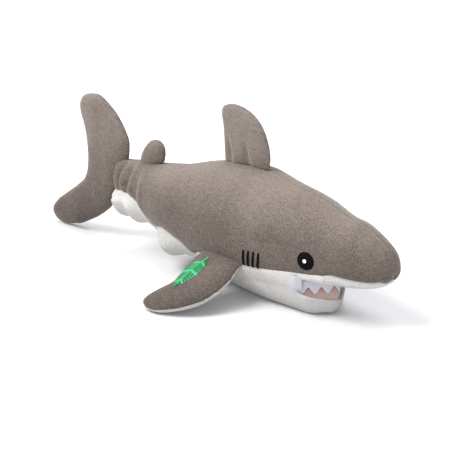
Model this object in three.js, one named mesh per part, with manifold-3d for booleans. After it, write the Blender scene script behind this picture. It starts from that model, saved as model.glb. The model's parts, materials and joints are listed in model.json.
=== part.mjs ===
// Plush shark, in millimetres. The shark faces +X, its left side is +Y and +Z is up.
// X = 0 is the corner of the mouth, where the lower jaw hinges; Z = 0 is the surface it lies on.
import * as THREE from "three";
import Module from "manifold-3d";
import { mergeVertices } from "three/addons/utils/BufferGeometryUtils.js";

const wasm = await Module();
wasm.setup();

// ---------------------------------------------------------------- driving dimensions
const SKIN = 2; // thickness of the plush fabric with its pile
const SEAM_GAP = 0.5; // between two panels along a seam
const LAYER_GAP = 0.4; // between touching pieces that aren't sewn edge to edge
const STUFFING_GAP = 0.8; // between a skin and the stuffing that fills it
const FIN_ROOT_GAP = 2; // between a fin's root and the body that it leans over

const SNOUT_LENGTH = 76; // nose to mouth corner
const CHEST_LENGTH = 60; // mouth corner to the deepest part of the chest
const TRUNK_LENGTH = 90; // chest to the rear-body bend
const REAR_LENGTH = 72; // rear-body bend to the tail seam
const BODY_WIDTH = 76; // at the widest part of the chest
const BODY_HEIGHT = 103.5; // surface to the crest of the back
const TAIL_ROOT_HEIGHT = 38; // surface to the underside of the body at the tail seam
const BELLY_SAG = 3.4; // how far the belly would hang below the surface that flattens it

const MOUTH_HEIGHT = 29; // underside of the palate
const NOSE_RISE = 20; // nose tip above the mouth
const JAW_LENGTH = 25; // hinge to the front of the chin
const JAW_CORNER_DROP = 9; // palate down to the rim of the jaw at the corner of the mouth
const JAW_FRONT_DROP = 18; // palate down to the rim of the jaw at the chin
const JAW_OPENS = 10; // degrees that it opens further
const LINING = 2; // thickness of the pink linings
const LINING_DEPTH = 4; // lower lining below the rim of the jaw

const TOOTH_HEIGHT = 11.5;
const TOOTH_WIDTH = 10.5;
const TOOTH_BAND = 4; // felt above the valleys between the points
const FELT = 1.2; // thickness of the felt

const EYE_DIAMETER = 14.2;
const EYE_FORWARD = 10; // ahead of the mouth corner
const EYE_HEIGHT = 49;
const GLINT_DIAMETER = 4.2;
const THREAD = 1.1; // how far embroidery stands off the plush

const GILL_COUNT = 4;
const GILL_PITCH = 4.6;
const GILL_WIDTH = 2.1;
const GILL_LENGTH = 14;
const GILL_SLANT = -0.7; // the top of a stitch lies this far behind its middle
const GILL_SET_BACK = 41; // mouth corner to the middle of the row
const GILL_HEIGHT = 39.5; // middle of the stitches

const DORSAL_BACK = 51; // mouth corner to the front of the dorsal fin
const DORSAL_LENGTH = 50; // along its root
const DORSAL_HEIGHT = 47;
const REAR_DORSAL_AHEAD = 51.5; // front of its root ahead of the tail seam
const REAR_DORSAL_LENGTH = 32;
const REAR_DORSAL_HEIGHT = 18;
const PECTORAL_BACK = 73; // mouth corner to the middle of its root
const PECTORAL_HEIGHT = 30; // root above the surface
const PECTORAL_LENGTH = 47; // along its root
const PECTORAL_SPAN = 70;
const PECTORAL_DROOP = 23; // degrees below level
const TAIL_UPPER = 46; // tail seam to the tip of the upper lobe, upward
const TAIL_SWEEP = 101; // tail seam to the rearmost tip of the lower lobe
const TAIL_CENTRE_HEIGHT = 86; // where the lobes join, above the surface
const TAIL_CLEARANCE = 0.3; // lower lobe above the surface
const FIN_EDGE = 2.6; // seam allowance inside the edge of a fin

const EMBLEM_LENGTH = 28;
const EMBLEM_WIDTH = 18;
const EMBLEM_FROM_ROOT = 9;
const EMBLEM_TIP_WIDTH = 0.8;
const EMBLEM_CHORD = -6; // its midrib ahead of the middle of the fin's root

const BEND_SWING = 12; // degrees either way at the rear-body bend
const TAIL_SWING = 35; // degrees either way at the tail seam
const HINGE_CLEARANCE = 0.6; // between the round end of one body and the socket of the next
const TAIL_ROOT_RADIUS = 9; // half the thickness of the stuffed tail where it swings

// ---------------------------------------------------------------- materials
const fabric = (color, roughness) => new THREE.MeshStandardMaterial({ color, roughness, metalness: 0 });
const GREY = fabric(0x82786f, 0.95);
const WHITE = fabric(0xdedbd4, 0.95);
const PINK = fabric(0xd69c96, 0.95);
const FELT_WHITE = fabric(0xc4c1c9, 0.95);
const STUFFING = fabric(0xf2f0ea, 0.95);
const BLACK_THREAD = fabric(0x141214, 0.5);
const WHITE_THREAD = fabric(0xf0eff2, 0.5);
const GREEN_THREAD = fabric(0x2f9a58, 0.5);

// ---------------------------------------------------------------- meshes from grids and rings
function geometryFrom(points, faces) {
  const geometry = new THREE.BufferGeometry();
  const values = points.flatMap((p) => [p.x, p.y, p.z]);
  geometry.setAttribute("position", new THREE.Float32BufferAttribute(values, 3));
  geometry.setIndex(faces.flat());
  return volumeOf(geometry) < 0 ? turnedInsideOut(geometry) : geometry;
}

function volumeOf(geometry) {
  const position = geometry.getAttribute("position");
  const index = geometry.getIndex();
  const corners = [new THREE.Vector3(), new THREE.Vector3(), new THREE.Vector3()];
  let sum = 0;
  for (let i = 0; i < index.count; i += 3) {
    corners.forEach((corner, k) => corner.fromBufferAttribute(position, index.getX(i + k)));
    sum += corners[0].dot(corners[1].clone().cross(corners[2]));
  }
  return sum / 6;
}

function turnedInsideOut(geometry) {
  const index = Array.from(geometry.getIndex().array);
  for (let i = 0; i < index.length; i += 3) {
    [index[i], index[i + 1]] = [index[i + 1], index[i]];
  }
  geometry.setIndex(index);
  return geometry;
}

// A curved sheet between two grids of points, closed along its four edges.
function sheetBetween(outer, inner) {
  const rows = outer.length;
  const columns = outer[0].length;
  const last = columns - 1;
  const points = [...outer.flat(), ...inner.flat()];
  const at = (layer, i, j) => (layer * rows + i) * columns + j;
  const faces = [];
  const quad = (a, b, c, d) => faces.push([a, b, c], [a, c, d]);
  for (let i = 0; i + 1 < rows; i += 1) {
    for (let j = 0; j + 1 < columns; j += 1) {
      quad(at(0, i, j), at(0, i + 1, j), at(0, i + 1, j + 1), at(0, i, j + 1));
      quad(at(1, i, j), at(1, i, j + 1), at(1, i + 1, j + 1), at(1, i + 1, j));
    }
    quad(at(0, i, 0), at(1, i, 0), at(1, i + 1, 0), at(0, i + 1, 0));
    quad(at(0, i, last), at(0, i + 1, last), at(1, i + 1, last), at(1, i, last));
  }
  for (let j = 0; j + 1 < columns; j += 1) {
    quad(at(0, 0, j), at(0, 0, j + 1), at(1, 0, j + 1), at(1, 0, j));
    quad(at(0, rows - 1, j), at(1, rows - 1, j), at(1, rows - 1, j + 1), at(0, rows - 1, j + 1));
  }
  return geometryFrom(points, faces);
}

// A solid through closed rings of points, with a flat fan over each end.
function loft(rings) {
  const count = rings[0].length;
  const points = rings.flat();
  const faces = [];
  for (let i = 0; i + 1 < rings.length; i += 1) {
    for (let j = 0; j < count; j += 1) {
      const next = (j + 1) % count;
      faces.push([i * count + j, (i + 1) * count + j, (i + 1) * count + next]);
      faces.push([i * count + j, (i + 1) * count + next, i * count + next]);
    }
  }
  for (const end of [0, rings.length - 1]) {
    const centre = rings[end].reduce((sum, p) => sum.add(p), new THREE.Vector3()).divideScalar(count);
    const middle = points.push(centre) - 1;
    for (let j = 0; j < count; j += 1) {
      const pair = [end * count + j, end * count + ((j + 1) % count)];
      faces.push(end === 0 ? [middle, pair[0], pair[1]] : [middle, pair[1], pair[0]]);
    }
  }
  return geometryFrom(points, faces);
}

// ---------------------------------------------------------------- joins and cuts
const REACH = 500; // larger than the shark, for cutting tools
const CYLINDER_SIDES = 24;

function solidFrom(source) {
  const bare = source.clone();
  bare.deleteAttribute("normal");
  bare.deleteAttribute("uv");
  const merged = mergeVertices(bare, 1e-4);
  const vertProperties = new Float32Array(merged.getAttribute("position").array);
  const triVerts = new Uint32Array(merged.getIndex().array);
  return new wasm.Manifold(new wasm.Mesh({ numProp: 3, vertProperties, triVerts }));
}

function geometryOf(solid) {
  const mesh = solid.getMesh();
  const geometry = new THREE.BufferGeometry();
  geometry.setAttribute("position", new THREE.Float32BufferAttribute(Array.from(mesh.vertProperties), 3));
  geometry.setIndex(Array.from(mesh.triVerts));
  return geometry;
}

const cut = (geometry, tool) => geometryOf(solidFrom(geometry).subtract(solidFrom(tool)));
const keep = (geometry, tool) => geometryOf(solidFrom(geometry).intersect(solidFrom(tool)));
const join = (geometry, tool) => geometryOf(solidFrom(geometry).add(solidFrom(tool)));

function boxBetween(low, high) {
  const size = high.clone().sub(low);
  const middle = low.clone().add(high).divideScalar(2);
  return new THREE.BoxGeometry(size.x, size.y, size.z).translate(middle.x, middle.y, middle.z);
}

const FAR_CORNER = new THREE.Vector3(REACH, REACH, REACH);
const boxAhead = (x) => boxBetween(new THREE.Vector3(x, -REACH, -REACH), FAR_CORNER);

function uprightCylinder(x, radius) {
  const cylinder = new THREE.CylinderGeometry(radius, radius, 2 * REACH, CYLINDER_SIDES);
  return cylinder.rotateX(Math.PI / 2).translate(x, 0, 0);
}

// ---------------------------------------------------------------- body sections
const radians = THREE.MathUtils.degToRad;
const NOSE_HEIGHT = MOUTH_HEIGHT + NOSE_RISE;
const BEND_X = -(CHEST_LENGTH + TRUNK_LENGTH);
const TAIL_X = BEND_X - REAR_LENGTH;

const rise = (share) => NOSE_HEIGHT + (BODY_HEIGHT - NOSE_HEIGHT) * share; // nose up to crest
const lip = (share) => MOUTH_HEIGHT + NOSE_RISE * share; // mouth up to nose
const chin = (share) => MOUTH_HEIGHT * share; // surface up to mouth
const belly = (share) => TAIL_ROOT_HEIGHT * share; // surface up to tail root
const wide = (share) => (BODY_WIDTH / 2) * share;
const ahead = (share) => SNOUT_LENGTH * share;
const chest = (share) => -CHEST_LENGTH * share;
const trunk = (share) => -CHEST_LENGTH - TRUNK_LENGTH * share;
const rear = (share) => BEND_X - REAR_LENGTH * share;

// x, top, bottom, half width, height of the widest point, height of the grey-white seam, and the
// powers of the superellipse above and below the widest point, nose to tail.
const SECTIONS = [
  [ahead(1), rise(0.02), lip(0.93), wide(0.035), rise(0), lip(0.97), 2, 2],
  [ahead(0.98), rise(0.12), lip(0.68), wide(0.19), rise(0), lip(0.88), 2.1, 2.1],
  [ahead(0.925), rise(0.28), lip(0.42), wide(0.32), rise(0.01), lip(0.74), 2.1, 2.3],
  [ahead(0.825), rise(0.385), lip(0.25), wide(0.43), rise(0.02), lip(0.65), 2.1, 2.5],
  [ahead(0.68), rise(0.49), lip(0.13), wide(0.53), rise(0.035), lip(0.59), 2.1, 2.7],
  [ahead(0.53), rise(0.575), lip(0.06), wide(0.61), rise(0.05), lip(0.55), 2.1, 2.8],
  [JAW_LENGTH + 3, rise(0.615), lip(-0.02), wide(0.655), rise(0.06), lip(0.53), 2.1, 3],
  [JAW_LENGTH, rise(0.63), chin(0.5), wide(0.67), rise(0.065), lip(0.51), 2.1, 3],
  [JAW_LENGTH - 5, rise(0.66), chin(0.08), wide(0.69), rise(0.07), lip(0.49), 2.1, 2.9],
  [JAW_LENGTH / 2, rise(0.71), chin(0), wide(0.735), rise(0.08), lip(0.44), 2.1, 2.7],
  [chest(0), rise(0.78), -BELLY_SAG, wide(0.81), rise(0.09), lip(0.38), 2.1, 2.5],
  [chest(0.5), rise(0.89), -BELLY_SAG, wide(0.925), rise(0.11), lip(0.2), 2.1, 2.3],
  [chest(1), rise(0.995), belly(-0.01), wide(1), rise(0.12), lip(0.09), 2.1, 2.3],
  [trunk(0.33), rise(0.98), belly(0.13), wide(0.98), rise(0.13), belly(0.77), 2.1, 2.3],
  [trunk(0.67), rise(0.86), belly(0.33), wide(0.89), rise(0.15), belly(0.76), 2.1, 2.25],
  [trunk(1), rise(0.72), belly(0.5), wide(0.76), rise(0.165), belly(0.97), 2.1, 2.2],
  [rear(0.42), rise(0.62), belly(0.74), wide(0.6), rise(0.18), belly(1.3), 2.1, 2.2],
  [rear(0.76), rise(0.58), belly(0.92), wide(0.45), rise(0.18), belly(1.42), 2.1, 2.1],
  [rear(1), rise(0.54), belly(1), wide(0.31), rise(0.18), belly(1.37), 2.1, 2.1],
];

// Values part of the way down a table of rows, smoothed through its rows: share 0 is the first
// row and 1 the last.
function smoothRow(rows, share) {
  const place = share * (rows.length - 1);
  const i = THREE.MathUtils.clamp(Math.floor(place), 0, rows.length - 2);
  const f = place - i;
  const row = (k) => rows[THREE.MathUtils.clamp(k, 0, rows.length - 1)];
  return row(i).map((b, channel) => {
    const [a, c, d] = [row(i - 1)[channel], row(i + 1)[channel], row(i + 2)[channel]];
    const bend = 2 * a - 5 * b + 4 * c - d;
    const twist = -a + 3 * b - 3 * c + d;
    return 0.5 * (2 * b + (c - a) * f + bend * f * f + twist * f * f * f);
  });
}

// The section at a place along the body: 0 is the nose and 1 the tail seam.
function sectionAt(place) {
  const [x, top, bottom, half, middle, seam, upper, lower] = smoothRow(SECTIONS, place);
  return { x, top, bottom, half, middle, seam, upper, lower };
}

function placeAt(x) {
  let [low, high] = [0, 1];
  for (let i = 0; i < 40; i += 1) {
    const middle = (low + high) / 2;
    if (sectionAt(middle).x > x) {
      low = middle;
    } else {
      high = middle;
    }
  }
  return (low + high) / 2;
}

// How far round a section a height lies, from 0 on the back to 1 under the belly.
function turnAt(section, z) {
  const { top, bottom, middle, upper, lower } = section;
  const span = z > middle ? top - middle : middle - bottom;
  const power = z > middle ? upper : lower;
  const share = THREE.MathUtils.clamp(Math.abs(z - middle) / span, 0, 1);
  const angle = Math.acos(share ** (power / 2));
  return (z > middle ? angle : Math.PI - angle) / Math.PI;
}

// Steps for slopes of the body along its length and round a section.
const PLACE_STEP = 0.001;
const TURN_STEP = 0.01;

function outlinePoint(place, turn, side) {
  const section = sectionAt(THREE.MathUtils.clamp(place, 0, 1));
  const { x, top, bottom, half, middle } = section;
  const [sine, cosine] = [Math.sin(turn * Math.PI), Math.cos(turn * Math.PI)];
  const power = cosine > 0 ? section.upper : section.lower;
  const reach = cosine > 0 ? top - middle : middle - bottom;
  const y = side * half * Math.sign(sine) * Math.abs(sine) ** (2 / power);
  const z = middle + reach * Math.sign(cosine) * Math.abs(cosine) ** (2 / power);
  return new THREE.Vector3(x, y, z);
}

// A point on the body, or below its skin by a depth, on the left (side 1) or the right (side -1).
function bodyPoint(place, turn, side, depth) {
  const point = outlinePoint(place, turn, side);
  const difference = (a, b) => outlinePoint(...a, side).sub(outlinePoint(...b, side));
  const along = difference([place + PLACE_STEP, turn], [place - PLACE_STEP, turn]);
  const around = difference([place, turn + TURN_STEP], [place, turn - TURN_STEP]);
  const outward = along.cross(around).normalize();
  const section = sectionAt(place);
  const centre = new THREE.Vector3(section.x - section.half, 0, section.middle);
  if (outward.dot(point.clone().sub(centre)) < 0) {
    outward.negate();
  }
  point.addScaledVector(outward, -depth);
  point.z = Math.max(point.z, depth);
  return point;
}

function sidePoint(x, z, side, depth) {
  const place = placeAt(x);
  return bodyPoint(place, turnAt(sectionAt(place), z), side, depth);
}

// Fraction of a turn that a distance along the skin takes.
function turnFor(place, turn, distance) {
  const [before, after] = [turn - TURN_STEP / 2, turn + TURN_STEP / 2];
  const length = outlinePoint(place, after, 1).distanceTo(outlinePoint(place, before, 1));
  return (distance * TURN_STEP) / length;
}

const STEPS = { along: 29, panel: 7, belly: 8 };
const places = Array.from({ length: STEPS.along + 1 }, (_, i) => i / STEPS.along);

function pointsOver(place, [from, to], columns, depth) {
  return Array.from({ length: columns + 1 }, (_, j) => {
    const turn = from + ((to - from) * j) / columns;
    return bodyPoint(place, Math.abs(turn), turn < 0 ? -1 : 1, depth);
  });
}

function backTurns(place, side) {
  const seam = turnAt(sectionAt(place), sectionAt(place).seam);
  const from = turnFor(place, 2 * TURN_STEP, SEAM_GAP / 2);
  const to = seam - turnFor(place, seam, SEAM_GAP / 2);
  return [side * from, side * to];
}

// The white skin runs from the left seam under the belly to the right seam.
function bellyTurns(place) {
  const seam = turnAt(sectionAt(place), sectionAt(place).seam);
  const from = seam + turnFor(place, seam, SEAM_GAP / 2);
  return [from, 2 - from];
}

function skinOver(turns, columns) {
  const grid = (depth) => places.map((place) => pointsOver(place, turns(place), columns, depth));
  return sheetBetween(grid(0), grid(SKIN));
}

function bodyCore() {
  const depth = SKIN + STUFFING_GAP;
  return loft(places.slice(1).map((place) => [
    ...pointsOver(place, backTurns(place, 1), STEPS.panel, depth),
    ...pointsOver(place, bellyTurns(place), STEPS.belly, depth),
    ...pointsOver(place, backTurns(place, -1), STEPS.panel, depth).reverse(),
  ]));
}

// ---------------------------------------------------------------- hinges between bodies
// What swings has a round front end of this radius about an upright axis at x.
function behindHinge(x, radius) {
  const corners = [new THREE.Vector3(-REACH, -REACH, -REACH), new THREE.Vector3(x, REACH, REACH)];
  const behind = boxBetween(...corners);
  return join(behind, uprightCylinder(x, radius));
}

// What holds it ends ahead of the axis, in a socket that the round end turns in.
function aheadOfHinge(x, radius, swing) {
  const edge = x + (radius + HINGE_CLEARANCE) * Math.sin(radians(swing)) + HINGE_CLEARANCE;
  return cut(boxAhead(edge), uprightCylinder(x, radius + HINGE_CLEARANCE));
}

const BEND_RADIUS = sectionAt(placeAt(BEND_X)).half;
const TRUNK_SPACE = aheadOfHinge(BEND_X, BEND_RADIUS, BEND_SWING);
const REAR_END = aheadOfHinge(TAIL_X, TAIL_ROOT_RADIUS, TAIL_SWING);
const REAR_SPACE = keep(behindHinge(BEND_X, BEND_RADIUS), REAR_END);

// A block that spans the width, with an outline of x and z.
function wedge(points) {
  const shape = new THREE.Shape(points.map(([x, z]) => new THREE.Vector2(x, z)));
  const block = new THREE.ExtrudeGeometry(shape, { depth: 2 * REACH, bevelEnabled: false });
  return block.rotateX(Math.PI / 2).translate(0, REACH, 0);
}

function mouthSpace(front, floor) {
  return boxBetween(new THREE.Vector3(front, -REACH, -REACH), new THREE.Vector3(REACH, REACH, floor));
}

const JAW_HINGE_HEIGHT = MOUTH_HEIGHT - JAW_CORNER_DROP;
const rimSlope = (JAW_CORNER_DROP - JAW_FRONT_DROP) / JAW_LENGTH;
const rimHeight = (x, below) => JAW_HINGE_HEIGHT + x * rimSlope - below;
const jawBackX = (z) => (JAW_HINGE_HEIGHT - z) * Math.tan(radians(JAW_OPENS)) + HINGE_CLEARANCE;

// The space of the jaw from a depth under its rim down, ahead of its hinge.
function jawSpace(below) {
  const top = rimHeight(0, below);
  return wedge([
    [jawBackX(top), rimHeight(jawBackX(top), below)],
    [REACH, rimHeight(REACH, below)],
    [REACH, -REACH],
    [jawBackX(-REACH), -REACH],
  ]);
}

// ---------------------------------------------------------------- the group
const group = new THREE.Group();

function addPart(name, geometry, material) {
  const finished = geometry.clone();
  finished.computeVertexNormals();
  const mesh = new THREE.Mesh(finished, material.clone());
  mesh.name = name;
  group.add(mesh);
}

// ---------------------------------------------------------------- skins and stuffing of the body
const sides = [["left", 1], ["right", -1]];
for (const [word, side] of sides) {
  const skin = skinOver((place) => backTurns(place, side), STEPS.panel);
  addPart(`back_panel_${word}`, keep(skin, TRUNK_SPACE), GREY);
  addPart(`rear_back_panel_${word}`, keep(skin, REAR_SPACE), GREY);
}

const whiteSkin = skinOver(bellyTurns, STEPS.belly);
const throatFront = boxAhead(-HINGE_CLEARANCE);
addPart("belly_panel", keep(cut(whiteSkin, throatFront), TRUNK_SPACE), WHITE);
addPart("rear_belly_panel", keep(whiteSkin, REAR_SPACE), WHITE);
addPart("snout_underside", cut(keep(whiteSkin, throatFront), mouthSpace(-REACH, MOUTH_HEIGHT)), WHITE);
addPart("jaw_panel", keep(whiteSkin, jawSpace(0)), WHITE);

const core = bodyCore();
const PALATE_TOP = MOUTH_HEIGHT + LINING;
const mouthRoof = mouthSpace(-HINGE_CLEARANCE, PALATE_TOP + LAYER_GAP);
addPart("torso_stuffing", cut(keep(core, TRUNK_SPACE), mouthRoof), STUFFING);
addPart("rear_stuffing", keep(core, REAR_SPACE), STUFFING);
addPart("jaw_stuffing", keep(core, jawSpace(LINING_DEPTH + LINING + LAYER_GAP)), STUFFING);
const liningSpace = cut(jawSpace(LINING_DEPTH), jawSpace(LINING_DEPTH + LINING));
addPart("mouth_lining_lower", keep(core, liningSpace), PINK);

const palateSlab = boxBetween(
  new THREE.Vector3(HINGE_CLEARANCE, -REACH, MOUTH_HEIGHT),
  new THREE.Vector3(JAW_LENGTH, REACH, PALATE_TOP),
);
addPart("palate_lining", keep(core, palateSlab), PINK);

// ---------------------------------------------------------------- teeth
// The edge of the palate, from the right corner of the mouth round the front to the left one.
function palateEdge() {
  const line = [];
  const count = 60;
  const front = SECTIONS.find((section) => section[2] < MOUTH_HEIGHT)[0];
  for (let i = 0; i <= count; i += 1) {
    const angle = (Math.PI * i) / count;
    const section = sectionAt(placeAt(HINGE_CLEARANCE + (front - HINGE_CLEARANCE) * Math.sin(angle)));
    const turn = turnAt(section, MOUTH_HEIGHT);
    const reach = section.half * Math.sin(turn * Math.PI) ** (2 / section.lower);
    line.push(new THREE.Vector3(section.x, -Math.sign(Math.cos(angle)) * reach, 0));
  }
  return new THREE.CatmullRomCurve3(line);
}

function teethStrip() {
  const edge = palateEdge();
  const teeth = Math.round(edge.getLength() / TOOTH_WIDTH);
  const perTooth = 4;
  const top = MOUTH_HEIGHT - LAYER_GAP;
  const grid = (inset) => Array.from({ length: teeth * perTooth + 1 }, (_, i) => {
    const share = i / (teeth * perTooth);
    const point = edge.getPointAt(share);
    const along = edge.getTangentAt(share);
    const inward = new THREE.Vector3(-along.y, along.x, 0);
    point.addScaledVector(inward, inset);
    const fall = 1 - Math.abs(((i % perTooth) / perTooth) * 2 - 1);
    const growth = 0.75 + 0.25 * Math.sin(Math.PI * share); // shorter towards the corners
    const bottom = top - TOOTH_BAND - (TOOTH_HEIGHT - TOOTH_BAND) * fall * growth;
    return [top, bottom].map((z) => new THREE.Vector3(point.x, point.y, z));
  });
  return sheetBetween(grid(SKIN), grid(SKIN + FELT));
}
addPart("upper_teeth_strip", teethStrip(), FELT_WHITE);

// ---------------------------------------------------------------- embroidery on the head
const onSkin = (x, z, side, proud) => sidePoint(x, z, side, -LAYER_GAP - proud);

// A round patch of satin stitch, thicker in the middle.
function disc(x, z, side, diameter, lowest) {
  const count = 20;
  const ring = (radius, proud) => Array.from({ length: count }, (_, i) => {
    const angle = (2 * Math.PI * i) / count;
    return onSkin(x + radius * Math.cos(angle), z + radius * Math.sin(angle), side, lowest + proud);
  });
  const radius = diameter / 2;
  return loft([
    ring(radius / 2, 0),
    ring(radius, 0),
    ring(radius, THREAD / 2),
    ring(radius * 0.8, THREAD * 0.9),
    ring(radius * 0.4, THREAD),
  ]);
}

// A bar of satin stitch along the height of the skin.
function gillStitch(x, side) {
  const rows = 6;
  const grid = (proud) => Array.from({ length: rows + 1 }, (_, i) => {
    const share = i / rows - 0.5;
    const z = GILL_HEIGHT + share * GILL_LENGTH;
    return [-0.5, 0, 0.5].map((across) => {
      const place = x + across * GILL_WIDTH - 2 * share * GILL_SLANT;
      return onSkin(place, z, side, proud - Math.abs(across) * proud);
    });
  });
  return sheetBetween(grid(THREAD), grid(0));
}

for (const [word, side] of sides) {
  addPart(`eye_${word}`, disc(EYE_FORWARD, EYE_HEIGHT, side, EYE_DIAMETER, 0), BLACK_THREAD);
  const glint = disc(EYE_FORWARD, EYE_HEIGHT, side, GLINT_DIAMETER, THREAD + LAYER_GAP);
  addPart(`eye_glint_${word}`, glint, WHITE_THREAD);
  for (let i = 0; i < GILL_COUNT; i += 1) {
    const x = -GILL_SET_BACK + ((GILL_COUNT - 1) / 2 - i) * GILL_PITCH;
    addPart(`gill_stitch_${word}_${i + 1}`, gillStitch(x, side), BLACK_THREAD);
  }
}

// ---------------------------------------------------------------- fins
// A fin is drawn flat: rows from its root to its tip, each a height above the root, the places of
// its leading and trailing edge, and half its thickness. In its own frame the chord runs along X,
// the span along Z and the thickness along Y. The root follows rootAt(chord).
function finRow(rows, share, inset) {
  const [span, lead, trail, thick] = smoothRow(rows, share);
  return { span, lead: lead - inset, trail: trail + inset, thick };
}

// Half the thickness of a fin at a depth below its surface, thinning to its edge. Panels stop short
// of the plane of the seam, and stuffing nearly closes on it.
function halfThickness(thick, depth, bulge) {
  const edge = depth > SKIN ? SEAM_GAP / 5 : SEAM_GAP / 2;
  return edge + Math.max(0, thick - depth) * bulge;
}

function finPoint(rows, rootAt, share, chord, side, inset, depth) {
  const last = rows[rows.length - 1][0];
  const row = finRow(rows, share, inset);
  const x = row.trail + (row.lead - row.trail) * chord;
  const bulge = Math.sqrt(Math.max(0, 1 - (2 * chord - 1) ** 2));
  const z = row.span + rootAt(x) * (1 - row.span / last);
  return new THREE.Vector3(x, side * halfThickness(row.thick, depth, bulge), z);
}

const FIN_STEPS = { span: 9, chord: 8, tailSpan: 14 };

// Points over a fin between two shares of its rows.
function gridOver([from, to], steps, pointAt) {
  return Array.from({ length: steps + 1 }, (_, i) => {
    const share = from + ((to - from) * i) / steps;
    return Array.from({ length: FIN_STEPS.chord + 1 }, (_unused, j) => pointAt(share, j / FIN_STEPS.chord));
  });
}

function finGrid(rows, rootAt, side, inset, depth, shares) {
  const pointAt = (share, chord) => finPoint(rows, rootAt, share, chord, side, inset, depth);
  return gridOver(shares, FIN_STEPS.span, pointAt);
}

// The hollow of a fin ends short of its tip.
const FIN_HOLLOW = [0, 0.9];
const TAIL_HOLLOW = [0.06, 0.94];

function finPanel(rows, rootAt, side) {
  const outer = finGrid(rows, rootAt, side, 0, 0, [0, 1]);
  const inner = finGrid(rows, rootAt, side, FIN_EDGE, SKIN, FIN_HOLLOW);
  return sheetBetween(outer, inner);
}

function finStuffing(rows, rootAt) {
  const inset = FIN_EDGE + STUFFING_GAP;
  const depth = SKIN + STUFFING_GAP;
  return loftOfSides((side) => finGrid(rows, rootAt, side, inset, depth, FIN_HOLLOW));
}

function loftOfSides(gridOf) {
  const far = gridOf(-1);
  return loft(gridOf(1).map((row, i) => [...row, ...far[i].reverse()]));
}

function addFin(name, words, rows, rootAt, placeFin, panelMaterials) {
  words.forEach((word, i) => {
    addPart(`${name}_${word}`, placeFin(finPanel(rows, rootAt, i === 0 ? 1 : -1)), panelMaterials[i]);
  });
  addPart(`${name}_stuffing`, placeFin(finStuffing(rows, rootAt)), STUFFING);
}

// Rows of each fin as shares of its height and of its root length.
function scaledRows(height, length, rows) {
  return rows.map(([span, lead, trail, thick]) => [span * height, lead * length, trail * length, thick]);
}

const DORSAL_ROWS = scaledRows(DORSAL_HEIGHT, DORSAL_LENGTH, [
  [0, 0, -1, 5],
  [0.22, 0.01, -1, 7.5],
  [0.4, -0.04, -1.01, 8],
  [0.6, -0.12, -1.02, 7.5],
  [0.76, -0.24, -1.06, 6.5],
  [0.88, -0.38, -1.06, 5],
  [0.96, -0.56, -1.02, 3],
  [1, -0.72, -0.9, 0],
]);
const REAR_DORSAL_ROWS = scaledRows(REAR_DORSAL_HEIGHT, REAR_DORSAL_LENGTH, [
  [0, 0, -1, 4],
  [0.38, 0.02, -0.84, 5],
  [0.67, -0.02, -0.69, 5],
  [0.86, -0.11, -0.56, 3.5],
  [1, -0.27, -0.45, 0],
]);

function standOnBack(front) {
  const origin = new THREE.Vector3(front, 0, sectionAt(placeAt(front)).top + FIN_ROOT_GAP);
  const rootAt = (x) => sectionAt(placeAt(front + x)).top + FIN_ROOT_GAP - origin.z;
  const placeFin = (geometry) => geometry.translate(origin.x, origin.y, origin.z);
  return { rootAt, placeFin };
}
const dorsal = standOnBack(-DORSAL_BACK);
addFin("dorsal_fin", ["left", "right"], DORSAL_ROWS, dorsal.rootAt, dorsal.placeFin, [GREY, GREY]);
const rearDorsal = standOnBack(TAIL_X + REAR_DORSAL_AHEAD);
addFin(
  "rear_dorsal_fin",
  ["left", "right"],
  REAR_DORSAL_ROWS,
  rearDorsal.rootAt,
  rearDorsal.placeFin,
  [GREY, GREY],
);

const PECTORAL_ROWS = scaledRows(PECTORAL_SPAN, PECTORAL_LENGTH, [
  [0, 0.49, -0.49, 3.5],
  [0.15, 0.55, -0.51, 6.5],
  [0.33, 0.58, -0.46, 8],
  [0.53, 0.52, -0.39, 8],
  [0.7, 0.4, -0.53, 7],
  [0.85, 0.17, -0.63, 5.5],
  [0.94, -0.04, -0.6, 3.5],
  [1, -0.23, -0.43, 0],
]);

const sideReach = (x, z) => Math.abs(sidePoint(x, z, 1, 0).y);
const rootFromMiddle = (x) => sideReach(x - PECTORAL_BACK, PECTORAL_HEIGHT) + FIN_ROOT_GAP;
const pectoralRoot = rootFromMiddle(0);
const pectoralRootAt = (x) => rootFromMiddle(x) - pectoralRoot;

// The fin's span turns from +Z to outward and down. The panel on +Y of its own frame ends up on top
// of the right fin and under the left one.
function placePectoral(side) {
  return (geometry) => geometry
    .rotateX(-side * (Math.PI / 2 + radians(PECTORAL_DROOP)))
    .translate(-PECTORAL_BACK, side * pectoralRoot, PECTORAL_HEIGHT);
}
for (const [word, side] of sides) {
  const words = side > 0 ? ["lower", "upper"] : ["upper", "lower"];
  const materials = side > 0 ? [WHITE, GREY] : [GREY, WHITE];
  addFin(`pectoral_${word}`, words, PECTORAL_ROWS, pectoralRootAt, placePectoral(side), materials);
}

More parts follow.
